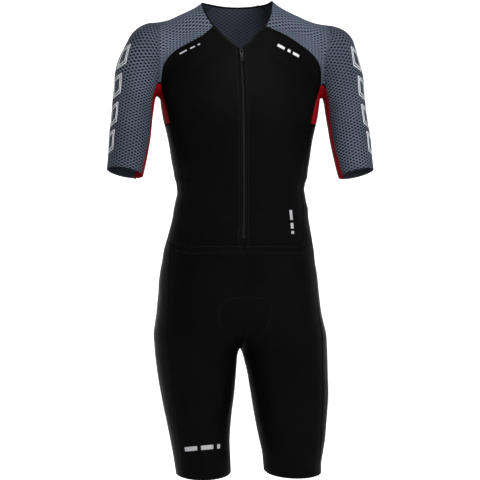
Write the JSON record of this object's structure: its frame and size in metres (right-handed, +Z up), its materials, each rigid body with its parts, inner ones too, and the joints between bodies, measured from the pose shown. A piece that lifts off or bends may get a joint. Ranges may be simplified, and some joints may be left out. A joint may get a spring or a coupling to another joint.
{
  "type": "triathlon suit",
  "caption": "Sleeved triathlon suit with a front zip, mesh shoulders and short legs, hollow in its worn form.",
  "frame": {"origin": "midway between the two points where the neck meets the shoulders, where the wearer's shoulders hold the suit up", "axes": "+Z up, -Y the way the front faces, +X the wearer's left"},
  "size_m": [0.5598, 0.2431, 0.9966],
  "materials": {
    "black_knit": "matt stretch knit",
    "sheen_knit": "stretch knit with a slight sheen",
    "grey_mesh": "matt mesh knit with small dark dots",
    "red_knit": "matt stretch knit",
    "binding": "matt knitted binding",
    "zip": "nylon coil",
    "dark_metal": "dark plated, satin"
  },
  "bodies": {
    "suit": {"front_left": "black_knit", "front_right": "black_knit", "side_left": "black_knit", "side_right": "black_knit", "back": "grey_mesh", "yoke_left": "grey_mesh", "yoke_right": "grey_mesh", "sleeve_left": "grey_mesh", "sleeve_right": "grey_mesh", "gusset_left": "red_knit", "gusset_right": "red_knit", "leg_front_left": "black_knit", "leg_front_right": "black_knit", "leg_strip_left": "sheen_knit", "leg_strip_right": "sheen_knit", "leg_back_left": "black_knit", "leg_back_right": "black_knit", "neck_binding": "binding", "zip_band": "zip", "zip_slider": "dark_metal"},
    "pull_tab": {"pull_tab": "dark_metal"}
  },
  "joints": [
    {"name": "pull_tab_swing", "type": "hinge", "parent": "suit", "child": "pull_tab", "pos_m": [0.00054, -0.09697, -0.1157], "axis": [-1, 0, 0], "range_deg": [0, 160]}
  ]
}
